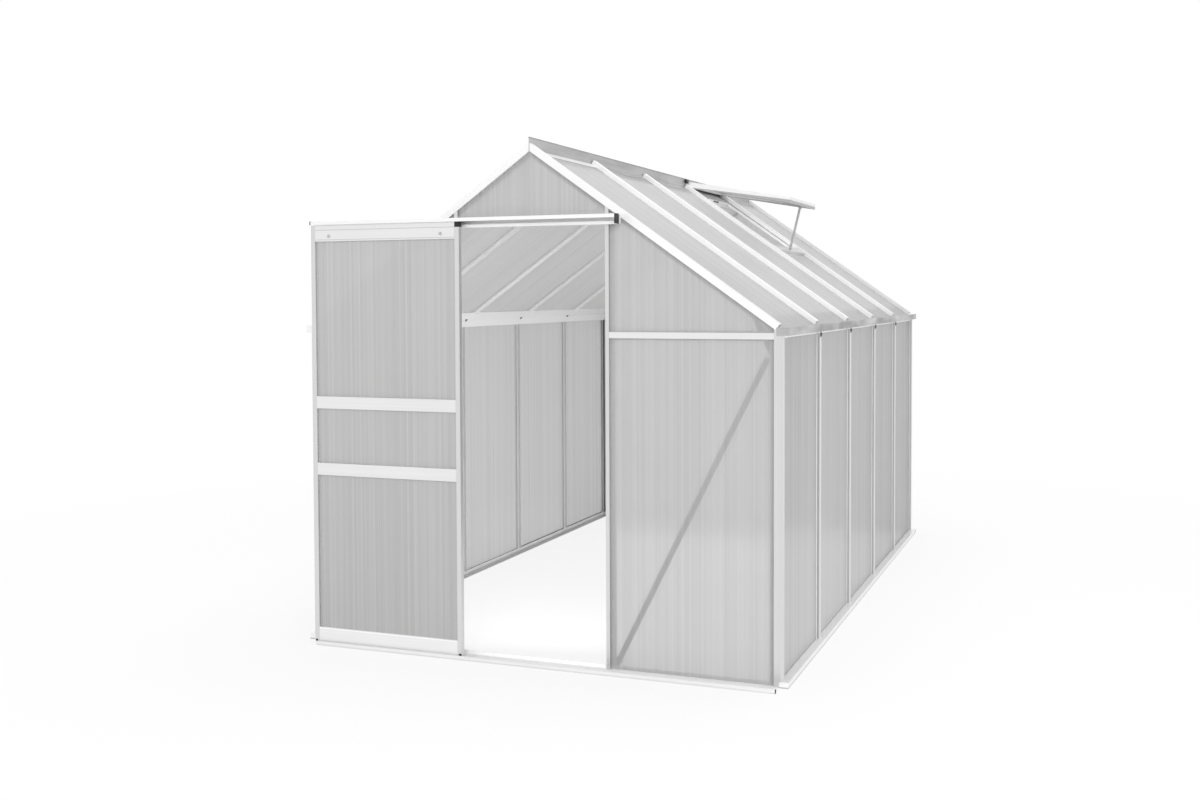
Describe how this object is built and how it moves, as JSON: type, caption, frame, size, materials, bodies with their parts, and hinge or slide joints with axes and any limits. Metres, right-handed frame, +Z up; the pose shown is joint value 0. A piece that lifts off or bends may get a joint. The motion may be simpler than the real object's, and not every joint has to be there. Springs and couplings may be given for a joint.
{
  "type": "polycarbonate greenhouse",
  "caption": "Gabled walk-in greenhouse of slim aluminium bars and twin-wall clear sheets, with eave gutters, a propped roof vent and a sliding front door hung from an overhead rail.",
  "frame": {"origin": "centre of the footprint box, on the ground", "axes": "+Z up, +Y from the door gable to the rear gable, +X to the right seen from the door"},
  "size_m": [1.87, 3.19, 1.88],
  "materials": {
    "aluminium_frame": "satin mill finish, pale",
    "twin_wall_sheet": "translucent, finely fluted",
    "black_plastic": "satin",
    "steel_fittings": "zinc plated"
  },
  "bodies": {
    "house": {"base_left": "aluminium_frame", "base_right": "aluminium_frame", "base_rear": "aluminium_frame", "front_sill": "aluminium_frame", "corner_post_front_left": "aluminium_frame", "corner_post_front_right": "aluminium_frame", "corner_post_rear_left": "aluminium_frame", "corner_post_rear_right": "aluminium_frame", "wall_bars_left": "aluminium_frame", "wall_bars_right": "aluminium_frame", "gutter_left": "aluminium_frame", "gutter_right": "aluminium_frame", "ridge_bar": "aluminium_frame", "front_rafters": "aluminium_frame", "rear_rafters": "aluminium_frame", "roof_bars_left": "aluminium_frame", "roof_bars_right": "aluminium_frame", "door_posts": "aluminium_frame", "door_header": "aluminium_frame", "front_eave_bars": "aluminium_frame", "rear_posts": "aluminium_frame", "rear_eave_bars": "aluminium_frame", "braces": "aluminium_frame", "gussets": "aluminium_frame", "door_rail": "aluminium_frame", "rail_end_caps": "black_plastic", "wall_sheets_left": "twin_wall_sheet", "wall_sheets_right": "twin_wall_sheet", "front_sheets_lower": "twin_wall_sheet", "front_sheets_gable": "twin_wall_sheet", "rear_sheets_lower": "twin_wall_sheet", "rear_sheets_gable": "twin_wall_sheet", "roof_sheets_left": "twin_wall_sheet", "roof_sheets_right": "twin_wall_sheet", "vent_sill": "aluminium_frame", "vent_frame": "aluminium_frame", "vent_sheet": "twin_wall_sheet", "vent_hinges": "black_plastic", "vent_stay": "steel_fittings"},
    "door": {"door_stiles": "aluminium_frame", "door_top_rail": "aluminium_frame", "door_mid_rails": "aluminium_frame", "door_bottom_rail": "aluminium_frame", "door_sheets": "twin_wall_sheet", "door_rollers": "steel_fittings", "stile_plug": "black_plastic"}
  },
  "joints": [
    {"name": "door_slide", "type": "slide", "parent": "house", "child": "door", "axis": [1, 0, 0], "range_m": [0, 0.561]}
  ]
}
